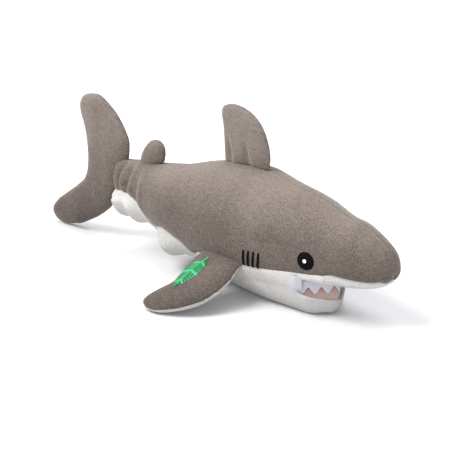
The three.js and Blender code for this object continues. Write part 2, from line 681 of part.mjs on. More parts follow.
// The tail stands upright behind its seam: its rows run from the lower lobe to the upper one.
const up = (share) => TAIL_CENTRE_HEIGHT + TAIL_UPPER * share;
const down = (share) => TAIL_CENTRE_HEIGHT * share;
const back = (share) => TAIL_X - TAIL_SWEEP * share;
const TAIL_ROWS = [
  [down(0.01), back(0.93), down(0.08), back(0.99), 0],
  [down(0), back(0.84), down(0.21), back(0.95), 4],
  [down(0.01), back(0.655), down(0.34), back(0.81), 6.5],
  [down(0.15), back(0.4), down(0.48), back(0.635), 8],
  [down(0.325), back(0.18), down(0.605), back(0.505), 8.5],
  [down(0.605), back(0.02), down(0.745), back(0.465), 8.5],
  [up(-0.13), TAIL_X + TAIL_ROOT_RADIUS - 3, up(-0.195), back(0.465), 8.5],
  [up(0.195), TAIL_X + TAIL_ROOT_RADIUS - 1, up(0.15), back(0.485), 8],
  [up(0.52), back(0.01), up(0.41), back(0.515), 8],
  [up(0.76), back(0.12), up(0.65), back(0.555), 7.5],
  [up(0.955), back(0.26), up(0.85), back(0.525), 6],
  [up(1), back(0.37), up(0.98), back(0.455), 0],
];

function tailGrid(side, inset, depth, shares) {
  const pointAt = (share, chord) => tailPoint(share, chord, side, inset, depth);
  return gridOver(shares, FIN_STEPS.tailSpan, pointAt);
}

function tailPoint(share, chord, side, inset, depth) {
  const [leadZ, leadX, trailZ, trailX, thick] = smoothRow(TAIL_ROWS, share);
  const lead = new THREE.Vector3(leadX, 0, Math.max(leadZ, TAIL_CLEARANCE));
  const trail = new THREE.Vector3(trailX, 0, trailZ);
  const across = lead.clone().sub(trail).normalize();
  lead.addScaledVector(across, -inset);
  trail.addScaledVector(across, inset);
  const point = trail.lerp(lead, chord);
  const bulge = Math.sqrt(Math.max(0, 1 - (2 * chord - 1) ** 2));
  point.y = side * halfThickness(thick, depth, bulge);
  return point;
}

for (const [word, side] of sides) {
  const outer = tailGrid(side, 0, 0, [0, 1]);
  const inner = tailGrid(side, FIN_EDGE, SKIN, TAIL_HOLLOW);
  addPart(`tail_fin_${word}`, sheetBetween(outer, inner), GREY);
}
const tailFilling = (side) => tailGrid(side, FIN_EDGE + STUFFING_GAP, SKIN + STUFFING_GAP, TAIL_HOLLOW);
addPart("tail_fin_stuffing", loftOfSides(tailFilling), STUFFING);

// ---------------------------------------------------------------- leaf emblem on the right fin
// A leaf in satin stitch on top of the right pectoral fin, lying along its span.
function leafEmblem() {
  const rows = 12;
  const columns = 4;
  const grid = (proud) => Array.from({ length: rows + 1 }, (_, i) => {
    const share = i / rows;
    const fullness = Math.sin(Math.PI * share ** 0.85) ** 0.8; // widest a little nearer the stalk
    const half = (EMBLEM_TIP_WIDTH + (EMBLEM_WIDTH - EMBLEM_TIP_WIDTH) * fullness) / 2;
    const span = (EMBLEM_FROM_ROOT + share * EMBLEM_LENGTH) / PECTORAL_SPAN;
    return Array.from({ length: columns + 1 }, (_unused, j) => {
      const across = (2 * j) / columns - 1;
      return pectoralTopPoint(span, EMBLEM_CHORD + across * half, proud * (1 - Math.abs(across) / 2));
    });
  });
  return placePectoral(-1)(sheetBetween(grid(THREAD), grid(0)));
}

// A point above the top of the right pectoral fin, in the fin's own frame.
function pectoralTopPoint(span, chordX, proud) {
  const row = finRow(PECTORAL_ROWS, span, 0);
  const chord = (chordX - row.trail) / (row.lead - row.trail);
  return finPoint(PECTORAL_ROWS, pectoralRootAt, span, chord, 1, 0, -2 * LAYER_GAP - proud);
}
addPart("leaf_emblem", leafEmblem(), GREEN_THREAD);

// ---------------------------------------------------------------- origin
// The frame's origin is below the middle of the shark, on the surface it lies on.
const extent = new THREE.Box3().setFromObject(group);
const centre = extent.getCenter(new THREE.Vector3());
group.position.set(-centre.x, -centre.y, -extent.min.z);
group.updateMatrixWorld(true);

export default group;
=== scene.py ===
"""Looks of the plush shark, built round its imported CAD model. Metres; +X is the nose, +Z is up."""
import json
import math
from collections import namedtuple
import bmesh
import bpy
import numpy as np
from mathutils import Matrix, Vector
from mathutils.bvhtree import BVHTree


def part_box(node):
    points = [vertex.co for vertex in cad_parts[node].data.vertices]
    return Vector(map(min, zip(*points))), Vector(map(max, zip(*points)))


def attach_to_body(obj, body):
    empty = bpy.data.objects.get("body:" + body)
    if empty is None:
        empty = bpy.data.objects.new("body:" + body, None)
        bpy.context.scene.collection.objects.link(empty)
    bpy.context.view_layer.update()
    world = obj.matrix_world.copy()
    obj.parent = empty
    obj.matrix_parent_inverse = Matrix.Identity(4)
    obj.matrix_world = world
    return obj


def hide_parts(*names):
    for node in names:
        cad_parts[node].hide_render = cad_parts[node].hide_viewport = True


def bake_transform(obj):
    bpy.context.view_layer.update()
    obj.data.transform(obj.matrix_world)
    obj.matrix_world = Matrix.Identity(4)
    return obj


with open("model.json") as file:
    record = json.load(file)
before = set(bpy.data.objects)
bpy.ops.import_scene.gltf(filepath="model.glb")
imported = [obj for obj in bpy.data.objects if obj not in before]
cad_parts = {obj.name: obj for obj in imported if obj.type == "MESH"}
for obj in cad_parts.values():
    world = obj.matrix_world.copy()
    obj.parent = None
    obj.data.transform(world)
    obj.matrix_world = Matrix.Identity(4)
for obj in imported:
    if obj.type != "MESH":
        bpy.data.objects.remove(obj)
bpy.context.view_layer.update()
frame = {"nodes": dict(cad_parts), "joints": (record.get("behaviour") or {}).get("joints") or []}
JOINTS = {joint["name"]: joint for joint in frame["joints"]}
MM = 0.001

# ---- sizes
HINGE_X = JOINTS["jaw_hinge"]["pos_m"][0]  # corner of the mouth
BEND_X = JOINTS["rear_body_bend"]["pos_m"][0]
TAIL_X = JOINTS["tail_swing"]["pos_m"][0]
MOUTH_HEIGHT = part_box("palate_lining")[0].z
RIM_CORNER_HEIGHT = JOINTS["jaw_hinge"]["pos_m"][2]
NOSE_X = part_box("back_panel_left")[1].x
CHEST_X = HINGE_X - 60 * MM  # deepest part of the chest
NOSE_HEIGHT = MOUTH_HEIGHT + 20 * MM
BODY_HEIGHT = 103.5 * MM
BODY_WIDTH = 76 * MM
TAIL_ROOT_HEIGHT = 38 * MM
BELLY_SAG = 3.4 * MM
JAW_LENGTH = 25 * MM
RIM_FRONT_HEIGHT = RIM_CORNER_HEIGHT - 9 * MM
TOOTH_WIDTH = 10.5 * MM
TOOTH_BAND = 4 * MM
TOOTH_HEIGHT = 11.5 * MM
TOOTH_TUCK = 1.2 * MM  # felt hidden above the edge of the mouth
FELT = 1.2 * MM

FIN_DROOP = 23  # degrees that the pectoral fins slope down
GILL_WIDTH = 2.1 * MM
TAIL_HEIGHT = 60 * MM  # middle of the tail's root
BODY_MIDDLE = 50 * MM  # height of a line through the body
OUTSIDE = 0.2  # clear of the toy, where rays towards it start

GRID = 1.9 * MM  # spacing of the points over the skins
BACK_COLUMNS, BELLY_COLUMNS, THROAT_COLUMNS, LIP_COLUMNS = 46, 34, 40, 26  # points across each skin
RIM_POINTS = 30  # points along half of the jaw's rim
FINE = 160  # points that a curve is measured by before it is cut into equal lengths
THROAT_BACK_X = HINGE_X - 73 * MM  # the throat ends and the belly starts here, under the fins

# ---- materials
EVEN = (1, 1, 1)  # a texture that isn't stretched


def node_tree(name):
    material = bpy.data.materials.new(name)
    material.use_nodes = True
    nodes = material.node_tree.nodes
    return material, nodes, material.node_tree.links, nodes["Principled BSDF"]


def preset(node, values):
    for name, value in values.items():
        node.inputs[name].default_value = value


def coordinates(nodes, links, stretch):
    place = nodes.new("ShaderNodeTexCoord")
    mapping = nodes.new("ShaderNodeMapping")
    preset(mapping, {"Scale": stretch})
    links.new(place.outputs["Object"], mapping.inputs["Vector"])
    return mapping.outputs["Vector"]


def noise(nodes, links, stretch, scale, detail):
    texture = nodes.new("ShaderNodeTexNoise")
    preset(texture, {"Scale": scale, "Detail": detail})
    links.new(coordinates(nodes, links, stretch), texture.inputs["Vector"])
    return texture.outputs["Fac"]


def painted_shade_height(nodes, links, low, high):
    """0 to 1 from low up to high, used as painted shade: the plush is coloured darker towards the bottom."""
    split = nodes.new("ShaderNodeSeparateXYZ")
    links.new(coordinates(nodes, links, EVEN), split.inputs["Vector"])
    span = nodes.new("ShaderNodeMapRange")
    preset(span, {"From Min": low, "From Max": high})
    links.new(split.outputs["Z"], span.inputs["Value"])
    return span.outputs["Result"]


def weighted(nodes, links, a, b, share):
    """share of b and the rest of a, for two grey values."""
    mix = nodes.new("ShaderNodeMix")
    preset(mix, {"Factor": share})
    links.new(a, mix.inputs["A"])
    links.new(b, mix.inputs["B"])
    return mix.outputs["Result"]


def ramp(nodes, links, value, stops):
    node = nodes.new("ShaderNodeValToRGB")
    while len(node.color_ramp.elements) < len(stops):
        node.color_ramp.elements.new(0.5)
    for element, (at, colour) in zip(node.color_ramp.elements, stops):
        element.position = at
        element.color = (*colour, 1)
    links.new(value, node.inputs["Fac"])
    return node.outputs["Color"]


def bump(nodes, links, value, strength, distance):
    node = nodes.new("ShaderNodeBump")
    preset(node, {"Strength": strength, "Distance": distance})
    links.new(value, node.inputs["Height"])
    return node.outputs["Normal"]


def plush(name, dark, middle, light, sheen, sheen_tint):
    """Short pile: fine speckle from the tips, soft streaks where it leans, broad patches of wear."""
    material, nodes, links, shader = node_tree(name)
    tips = noise(nodes, links, EVEN, 950, 2)
    streaks = noise(nodes, links, (0.5, 1, 1), 330, 2)
    patches = noise(nodes, links, EVEN, 22, 1)
    fine = weighted(nodes, links, tips, streaks, 0.2)
    value = weighted(nodes, links, fine, patches, 0.24)
    # painted shade: the plush is coloured darker low down and lighter high up, as light from above would
    # make it
    value = weighted(nodes, links, value, painted_shade_height(nodes, links, 0.015, 0.10), 0.2)
    colour = ramp(nodes, links, value, [(0.34, dark), (0.5, middle), (0.66, light)])
    links.new(colour, shader.inputs["Base Color"])
    links.new(bump(nodes, links, fine, 0.6, 0.0012), shader.inputs["Normal"])
    preset(shader, {"Roughness": 0.95, "Specular IOR Level": 0.15})
    preset(shader, {"Sheen Weight": sheen, "Sheen Roughness": 0.35, "Sheen Tint": (*sheen_tint, 1)})
    return material


def cloth(name, dark, light, scale, roughness, depth):
    material, nodes, links, shader = node_tree(name)
    fibres = noise(nodes, links, EVEN, scale, 4)
    patches = noise(nodes, links, EVEN, 60, 2)
    value = weighted(nodes, links, fibres, patches, 0.35)
    links.new(ramp(nodes, links, value, [(0.35, dark), (0.65, light)]), shader.inputs["Base Color"])
    links.new(bump(nodes, links, fibres, 0.5, depth), shader.inputs["Normal"])
    preset(shader, {"Roughness": roughness, "Sheen Weight": 0.2})
    return material


def thread(name, dark, light, roughness, gloss=0.3):
    """Satin stitch: rows of shiny thread."""
    material, nodes, links, shader = node_tree(name)
    strands = noise(nodes, links, (0.25, 1, 1), 1500, 2)
    links.new(ramp(nodes, links, strands, [(0.3, dark), (0.7, light)]), shader.inputs["Base Color"])
    links.new(bump(nodes, links, strands, 0.5, 0.0004), shader.inputs["Normal"])
    preset(shader, {"Roughness": roughness, "Specular IOR Level": gloss})
    return material


GREYS = (0.056, 0.045, 0.041), (0.114, 0.094, 0.082), (0.195, 0.165, 0.146)
WHITES = (0.37, 0.362, 0.35), (0.47, 0.46, 0.443), (0.58, 0.57, 0.55)
GREY = plush("grey plush", *GREYS, 0.42, (0.85, 0.78, 0.71))
WHITE = plush("white plush", *WHITES, 0.08, (1, 1, 1))
PINK = cloth("pink lining", (0.98, 0.66, 0.61), (1.0, 0.80, 0.75), 900, 0.9, 0.0006)
FELT_GREY = cloth("felt", (0.35, 0.345, 0.39), (0.46, 0.45, 0.50), 1100, 0.9, 0.0005)
BLACK_THREAD = thread("black thread", (0.002, 0.002, 0.003), (0.008, 0.007, 0.009), 0.8, 0.02)
WHITE_THREAD = thread("white thread", (0.75, 0.75, 0.78), (0.95, 0.95, 0.97), 0.4)
DARK_GREEN = thread("dark green thread", (0.01, 0.12, 0.045), (0.022, 0.23, 0.09), 0.4)
LIGHT_GREEN = thread("light green thread", (0.03, 0.28, 0.105), (0.08, 0.44, 0.19), 0.4)

# ---- body sections
def rise(share):
    return NOSE_HEIGHT + (BODY_HEIGHT - NOSE_HEIGHT) * share


def lip(share):
    return MOUTH_HEIGHT + (NOSE_HEIGHT - MOUTH_HEIGHT) * share


def chin(share):
    return MOUTH_HEIGHT * share


def belly(share):
    return TAIL_ROOT_HEIGHT * share


def wide(share):
    return BODY_WIDTH / 2 * share


def between(start, end):
    return lambda share: start + (end - start) * share


ahead = between(HINGE_X, NOSE_X)
chest = between(HINGE_X, CHEST_X)
trunk = between(CHEST_X, BEND_X)
rear = between(BEND_X, TAIL_X)

# x, top, bottom, half width, height of the widest point, height of the grey-white seam, and the
# powers of the superellipse above and below the widest point, nose to tail.
SECTIONS = np.array([
    [ahead(1), rise(0.02), lip(0.93), wide(0.035), rise(0), lip(0.97), 2, 2],
    [ahead(0.98), rise(0.12), lip(0.68), wide(0.19), rise(0), lip(0.88), 2.1, 2.1],
    [ahead(0.925), rise(0.28), lip(0.42), wide(0.32), rise(0.01), lip(0.74), 2.1, 2.3],
    [ahead(0.825), rise(0.385), lip(0.25), wide(0.43), rise(0.02), lip(0.65), 2.1, 2.5],
    [ahead(0.68), rise(0.49), lip(0.13), wide(0.53), rise(0.035), lip(0.59), 2.1, 2.7],
    [ahead(0.53), rise(0.575), lip(0.06), wide(0.61), rise(0.05), lip(0.55), 2.1, 2.8],
    [HINGE_X + JAW_LENGTH + 3 * MM, rise(0.615), lip(-0.02), wide(0.655), rise(0.06), lip(0.53), 2.1, 3],
    [HINGE_X + JAW_LENGTH, rise(0.63), chin(0.5), wide(0.67), rise(0.065), lip(0.51), 2.1, 3],
    [HINGE_X + JAW_LENGTH - 5 * MM, rise(0.66), chin(0.08), wide(0.69), rise(0.07), lip(0.49), 2.1, 2.9],
    [HINGE_X + JAW_LENGTH / 2, rise(0.71), chin(0), wide(0.735), rise(0.08), lip(0.44), 2.1, 2.7],
    [chest(0), rise(0.78), -BELLY_SAG, wide(0.81), rise(0.09), lip(0.38), 2.1, 2.5],
    [chest(0.5), rise(0.89), -BELLY_SAG, wide(0.925), rise(0.11), lip(0.2), 2.1, 2.3],
    [chest(1), rise(0.995), belly(-0.01), wide(1), rise(0.12), lip(0.09), 2.1, 2.3],
    [trunk(0.33), rise(0.98), belly(0.13), wide(0.98), rise(0.13), belly(0.77), 2.1, 2.3],
    [trunk(0.67), rise(0.86), belly(0.33), wide(0.89), rise(0.15), belly(0.76), 2.1, 2.25],
    [trunk(1), rise(0.72), belly(0.5), wide(0.76), rise(0.165), belly(0.97), 2.1, 2.2],
    [rear(0.42), rise(0.62), belly(0.74), wide(0.6), rise(0.18), belly(1.3), 2.1, 2.2],
    [rear(0.76), rise(0.58), belly(0.92), wide(0.45), rise(0.18), belly(1.42), 2.1, 2.1],
    [rear(1), rise(0.54), belly(1), wide(0.31), rise(0.18), belly(1.37), 2.1, 2.1],
])


def smooth_row(rows, share):
    """Values part of the way down a table, smoothed through its rows, for an array of shares."""
    place = np.asarray(share, float) * (len(rows) - 1)
    i = np.clip(np.floor(place).astype(int), 0, len(rows) - 2)
    f = (place - i)[..., None]
    a, b, c, d = (rows[np.clip(k, 0, len(rows) - 1)] for k in (i - 1, i, i + 1, i + 2))
    return 0.5 * (2 * b + (c - a) * f + (2 * a - 5 * b + 4 * c - d) * f**2 + (3 * b - a - 3 * c + d) * f**3)


PLACES = np.linspace(0, 1, 4001)  # fine enough to look a place up by its x
PLACES_X = smooth_row(SECTIONS, PLACES)[:, 0]


def place_at(x):
    return np.interp(-np.asarray(x), -PLACES_X, PLACES)


def turn_at(place, z):
    """How far round the section the height z lies, from 0 on the back to 1 under the belly."""
    _, top, bottom, _, middle, _, upper, lower = np.moveaxis(smooth_row(SECTIONS, place), -1, 0)
    above = z > middle
    span = np.where(above, top - middle, middle - bottom)
    share = np.clip(np.abs(z - middle) / span, 0, 1)
    angle = np.arccos(share ** (np.where(above, upper, lower) / 2))
    return np.where(above, angle, math.pi - angle) / math.pi


def hump(value, middle, width):
    return np.exp(-(((value - middle) / width) ** 2))


SEAM_DIPS = MM * np.array([(-172, 13, 14), (-116, 8, 7)])  # from the hinge, width, depth


def seam_turn(place):
    """Where grey meets white; slack fabric lets the seam sag in two places."""
    section = smooth_row(SECTIONS, place)
    z = section[..., 5]
    for x, width, depth in SEAM_DIPS:
        z = z - depth * hump(section[..., 0], HINGE_X + x, width)
    near_nose = np.clip((section[..., 0] - NOSE_X + 45 * MM) / (45 * MM), 0, 1)
    near_nose = near_nose * (1 - hump(section[..., 0], NOSE_X, 3 * MM))
    z = z - 0.5 * near_nose * (z - section[..., 2])
    turn = turn_at(place, z)
    tip = np.clip((section[..., 0] - NOSE_X + 8 * MM) / (6 * MM), 0, 1)
    return turn + (0.997 - turn) * tip * tip * (3 - 2 * tip)


def outline(place, turn, side):
    """A point of the plain body, side 1 on the left and -1 on the right."""
    x, top, bottom, half, middle, _, upper, lower = np.moveaxis(smooth_row(SECTIONS, place), -1, 0)
    sine, cosine = np.sin(turn * math.pi), np.cos(turn * math.pi)
    power = np.where(cosine > 0, upper, lower)
    reach = np.where(cosine > 0, top - middle, middle - bottom)
    y = side * half * np.sign(sine) * np.abs(sine) ** (2 / power)
    z = middle + reach * np.sign(cosine) * np.abs(cosine) ** (2 / power)
    return np.stack(np.broadcast_arrays(x, y, z), -1)


def outward(place, turn, side):
    step = 0.002
    along = outline(place + step, turn, side) - outline(place - step, turn, side)
    around = outline(place, turn + step, side) - outline(place, turn - step, side)
    normal = np.cross(along, around)
    normal /= np.maximum(np.linalg.norm(normal, axis=-1, keepdims=True), 1e-12)
    section = smooth_row(SECTIONS, place)
    middle = np.stack([section[..., 0] - section[..., 3], 0 * section[..., 0], section[..., 4]], -1)
    facing = np.sum(normal * (outline(place, turn, side) - middle), -1, keepdims=True)
    return normal * np.where(facing < 0, -1, 1)


# ---- meshes
def linked(name, data):
    obj = bpy.data.objects.new(name, data)
    bpy.context.scene.collection.objects.link(obj)
    return obj


def dress(mesh, material):
    mesh.materials.clear()
    mesh.materials.append(material)
    mesh.polygons.foreach_set("use_smooth", [True] * len(mesh.polygons))


def object_from(name, points, faces, material):
    mesh = bpy.data.meshes.new(name)
    mesh.from_pydata([tuple(p) for p in points], [], faces)
    dress(mesh, material)
    mesh.update()
    return linked(name, mesh)


def points_in(obj):
    return np.array([v.co for v in obj.data.vertices])


def grid_faces(rows, columns, offset=0, closed=False):
    faces = []
    for i in range(rows - 1):
        for j in range(columns - (0 if closed else 1)):
            k = (j + 1) % columns
            a, b = offset + i * columns, offset + (i + 1) * columns
            faces.append((a + j, b + j, b + k, a + k))
    return faces


def tidy(obj, away_from=None):
    """Welds points that meet, and turns faces away from a line through the object's middle."""
    mesh = bmesh.new()
    mesh.from_mesh(obj.data)
    bmesh.ops.remove_doubles(mesh, verts=mesh.verts, dist=0.00005)
    bmesh.ops.dissolve_degenerate(mesh, edges=mesh.edges, dist=0.00002)
    bmesh.ops.recalc_face_normals(mesh, faces=mesh.faces)
    if away_from is not None:
        middles = [(f.normal, f.calc_center_median()) for f in mesh.faces]
        if sum(normal.dot(middle - away_from(middle)) for normal, middle in middles) < 0:
            bmesh.ops.reverse_faces(mesh, faces=mesh.faces)
    mesh.to_mesh(obj.data)
    mesh.free()
    obj.data.update()


def body_axis(point):
    return Vector((point.x, 0, BODY_MIDDLE))


def grids_object(name, grids, material, away_from=body_axis):
    points, faces = [], []
    for grid in grids:
        faces += grid_faces(grid.shape[0], grid.shape[1], len(points))
        points += list(grid.reshape(-1, 3))
    obj = object_from(name, points, faces, material)
    tidy(obj, away_from)
    return obj


def evenly(curve, count):
    """Shares along a curve of points that cut it into equal lengths."""
    steps = np.linalg.norm(np.diff(curve, axis=0), axis=1)
    length = np.concatenate([[0], np.cumsum(steps)])
    return np.interp(np.linspace(0, length[-1], count), length, np.linspace(0, 1, len(curve)))


# ---- padding
def simulate(obj, pins, cap, frames=16, pressure=4.0):
    """Blows a padded piece up as cloth and leaves it still, no point moved further than cap."""
    before = points_in(obj)
    group = obj.vertex_groups.new(name="sewn")
    group.add([int(i) for i in np.flatnonzero(pins)], 1.0, "REPLACE")
    cloth_modifier = obj.modifiers.new("padding", "CLOTH")
    settings = cloth_modifier.settings
    settings.use_pressure = True
    settings.uniform_pressure_force = pressure
    settings.effector_weights.gravity = 0
    settings.vertex_group_mass = group.name
    settings.quality = 5
    cloth_modifier.collision_settings.use_collision = False
    scene = bpy.context.scene
    for step in range(1, frames + 1):
        scene.frame_set(step)
    after = points_in(obj.evaluated_get(bpy.context.evaluated_depsgraph_get()))
    obj.modifiers.remove(cloth_modifier)
    scene.frame_set(1)
    moved = after - before
    length = np.maximum(np.linalg.norm(moved, axis=1, keepdims=True), 1e-9)
    moved *= np.minimum(1, cap / length)
    return before + moved, moved


PUFF_ROWS, PUFF_COLUMNS = 46, 21
SEAM_COLUMN = 11  # the column that runs along the grey-white seam
HEAD_ROWS = 14  # rows of the head, which is packed too hard to puff
PUFF_CAP = 3 * MM


def body_puff():
    """How far pressure lifts the body's skin between its seams, over (place, turn) on one side."""
    place = np.linspace(0.02, 1, PUFF_ROWS)[:, None]
    seam = seam_turn(place)
    upper = np.linspace(0, 1, SEAM_COLUMN + 1)[None, :] * seam
    lower = seam + np.linspace(0, 1, PUFF_COLUMNS - SEAM_COLUMN)[None, 1:] * (1 - seam)
    turn = np.concatenate([upper, lower], 1)
    left = outline(place, turn, 1)
    right = outline(place, turn, -1)[:, ::-1][:, 1:-1]
    ring = np.concatenate([left, right], 1)
    columns = ring.shape[1]
    faces = grid_faces(PUFF_ROWS, columns, closed=True)
    faces += [tuple(range(columns)), tuple(range((PUFF_ROWS - 1) * columns, PUFF_ROWS * columns))]
    points = ring.reshape(-1, 3)
    obj = object_from("body_padding", points, faces, GREY)
    pins = np.zeros((PUFF_ROWS, columns), bool)
    for sewn in (0, SEAM_COLUMN, columns - SEAM_COLUMN):
        pins[:, sewn] = True
    pins[:HEAD_ROWS] = True
    pins[-1] = True
    _, moved = simulate(obj, pins.reshape(-1), PUFF_CAP)
    normal = outward(place, turn, 1).reshape(-1, 3)
    moved = moved.reshape(PUFF_ROWS, columns, 3)[:, :PUFF_COLUMNS]
    lift = np.sum(moved.reshape(-1, 3) * normal, 1).reshape(PUFF_ROWS, PUFF_COLUMNS)
    bpy.data.objects.remove(obj)
    return lift - lift.mean() * (np.arange(PUFF_ROWS) > HEAD_ROWS)[:, None]


PUFF = body_puff()


def puff_at(place, turn):
    """The lift at any place and turn, read between the points that were simulated."""
    seam = seam_turn(place)
    above = SEAM_COLUMN * turn / seam
    below = SEAM_COLUMN + (PUFF_COLUMNS - 1 - SEAM_COLUMN) * (turn - seam) / (1 - seam)
    column = np.where(turn < seam, above, below)
    row = np.clip((place - 0.02) / 0.98, 0, 1) * (PUFF_ROWS - 1)
    i = np.clip(np.floor(row).astype(int), 0, PUFF_ROWS - 2)
    j = np.clip(np.floor(column).astype(int), 0, PUFF_COLUMNS - 2)
    f, g = row - i, np.clip(column - j, 0, 1)
    top = PUFF[i, j] * (1 - g) + PUFF[i, j + 1] * g
    low = PUFF[i + 1, j] * (1 - g) + PUFF[i + 1, j + 1] * g
    return top * (1 - f) + low * f


# ---- the body's relief
# Upright folds ahead of the tail: distance from the tail seam, width, depth.
FOLDS = MM * np.array([(8, 2.8, 4.2), (20, 3.2, 3.8), (33, 5, 1.6)])
# White stuffed lumps under the rear: distance from the hinge, width, height.
PUFFS = MM * np.array([(-214, 9, 9), (-195, 8, 6.5), (-145, 12, 9.5), (-100, 6, 3.5)])


def relief(place, turn, side):
    """How far the stuffed skin stands off the plain body: seams pull in, and folds form."""
    place, turn = np.broadcast_arrays(place, turn)
    seam = seam_turn(place)
    ends = outline(place, seam + 0.005, side) - outline(place, seam - 0.005, side)
    per_turn = np.linalg.norm(ends, axis=-1) / 0.01
    from_seam = np.abs(turn - seam) * per_turn
    crest_ends = outline(place, turn * 0 + 0.03, side) - outline(place, turn * 0, side)
    from_crest = turn * np.linalg.norm(crest_ends, axis=-1) / 0.03
    x = smooth_row(SECTIONS, place)[..., 0]
    lift = puff_at(place, turn)
    lift -= 1.1 * MM * hump(from_seam, 0, 1.6 * MM) + 0.9 * MM * hump(from_seam, 0, 6 * MM)
    lift -= 0.8 * MM * hump(from_crest, 0, 1.5 * MM) * np.clip((NOSE_X - x) / (12 * MM), 0, 1)
    for back, width, depth in FOLDS:
        wander = 1.5 * MM * np.sin(turn * 9 + back * 900)
        fade = np.clip((seam * 1.02 - turn) * 9, 0, 1) * np.clip(turn * 5 - 0.25, 0, 1)
        lift -= depth * hump(x, TAIL_X + back + wander, width) * fade
        lift += 0.4 * depth * hump(x, TAIL_X + back + wander + 6 * MM, 4 * MM) * fade
    under = np.clip((turn - seam) * 14, 0, 1)
    for at, width, tall in PUFFS:
        lift += under * tall * hump(x, HINGE_X + at, width)
    y = outline(place, turn, side)[..., 1]
    slow = np.sin(x * 61 + y * 40) * np.cos(y * 90 + x * 23) + np.sin(x * 113 + y * 70)
    return lift + 0.3 * MM * slow * np.clip((NOSE_X - x) / (50 * MM), 0, 1)


def pile(points, height):
    """A little unevenness of the pile, the same wherever two skins meet."""
    x, y, z = (points[..., k] / MM for k in range(3))
    wave = np.sin(2.1 * x + 1.3 * np.sin(1.7 * z)) * np.sin(2.3 * z + 1.1 * np.sin(1.9 * y + x))
    wave = wave + np.sin(3.1 * x + 2.7 * z + 1.7 * y) * 0.5
    return height * wave


def skin(place, turn, side):
    plain = outline(place, turn, side)
    lift = relief(place, turn, side) + pile(plain, 0.12 * MM)
    points = plain + outward(place, turn, side) * lift[..., None]
    points[..., 2] = np.maximum(points[..., 2], 0)
    return points


def lengthwise(start, end, spacing=GRID):
    """Places between two x positions, evenly spaced along the crest and the belly together."""
    dense = np.linspace(place_at(start), place_at(end), 600)
    curve = np.concatenate([outline(dense, dense * 0 + t, 1) for t in (0.0, 0.5, 1.0)], 1)
    length = np.linalg.norm(np.diff(curve, axis=0), axis=1).sum() / math.sqrt(3)
    return dense[0] + (dense[-1] - dense[0]) * evenly(curve, max(3, int(length / spacing)))


def strip(places, start_turn, end_turn, side, count):
    """Rows of the skin between two turns, each cut into equal lengths."""
    rows = []
    for place, start, end in zip(places, start_turn, end_turn):
        dense = start + (end - start) * np.linspace(0, 1, FINE)
        shares = evenly(outline(np.full(FINE, place), dense, side), count)
        rows.append(skin(np.full(count, place), start + (end - start) * shares, side))
    return np.array(rows)


def tail_cap(row):
    """Rounds the rear end of a skin inward over the root of the tail."""
    rows = []
    for step in np.linspace(0, 1, 8)[1:]:
        angle = step * math.pi / 2
        ring = row.copy()
        narrow = 1 - (1 - math.cos(angle)) * 0.85
        ring[:, 1] = row[:, 1] * narrow
        middle = (TAIL_ROOT_HEIGHT + rise(0.54)) / 2
        ring[:, 2] = middle + (row[:, 2] - middle) * (1 - 0.16 * (1 - math.cos(angle)))
        ring[:, 0] = row[:, 0] - 5.5 * MM * math.sin(angle)
        rows.append(ring)
    return np.array(rows)


def nose_cap(row):
    """Closes the front end of a skin on the tip of the nose."""
    tip = np.array([NOSE_X + 0.4 * MM, 0, NOSE_HEIGHT])
    return np.array([row * 0 + tip, row * 0.45 + tip * 0.55])


def body_blend(obj):
    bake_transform(obj)


def stands_for(obj, slot, *nodes, fill=None, rides=True):
    """What a piece replaces, whose CAD parts are hidden; slot, what it is made of, is not used. With rides,
    it moves with the torso.
    """
    if nodes:
        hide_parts(*nodes)
    if rides:
        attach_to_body(obj, "torso")


def jaw_blend(obj):
    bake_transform(obj)


SIDES = (("left", 1), ("right", -1))


def make_backs():
    places = lengthwise(NOSE_X, TAIL_X)
    made = {}
    for word, side in SIDES:
        grid = strip(places, places * 0, seam_turn(places), side, BACK_COLUMNS)
        grid = np.concatenate([nose_cap(grid[0]), grid, tail_cap(grid[-1])])
        obj = grids_object(f"back_skin_{word}", [grid], GREY)
        made[word] = obj
        nodes = (f"back_panel_{word}", f"rear_back_panel_{word}")
        stands_for(obj, "grey_plush", *nodes, rides=False)
    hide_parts("torso_stuffing", "rear_stuffing")
    return made


def mouth_edge():
    """The line that the teeth hang along, from the right corner round the front to the left one."""
    angle = np.linspace(0, math.pi, 241)
    x = HINGE_X + (JAW_LENGTH - 1 * MM) * np.sin(angle)
    half, _ = jaw_outline(x)
    return np.stack([x, -np.sign(np.cos(angle)) * half, x * 0 + MOUTH_HEIGHT], 1)


def inward_of(edge):
    along = np.gradient(edge, axis=0)
    inward = np.stack([-along[:, 1], along[:, 0], along[:, 0] * 0], 1)
    return inward / np.maximum(np.linalg.norm(inward, axis=1, keepdims=True), 1e-9)


UNDERSIDE_POWER = 3.0  # of the superellipse that the lip turns under the head by
LIP_START = 5 * MM  # length over which the lip's rear end rounds down from the seam


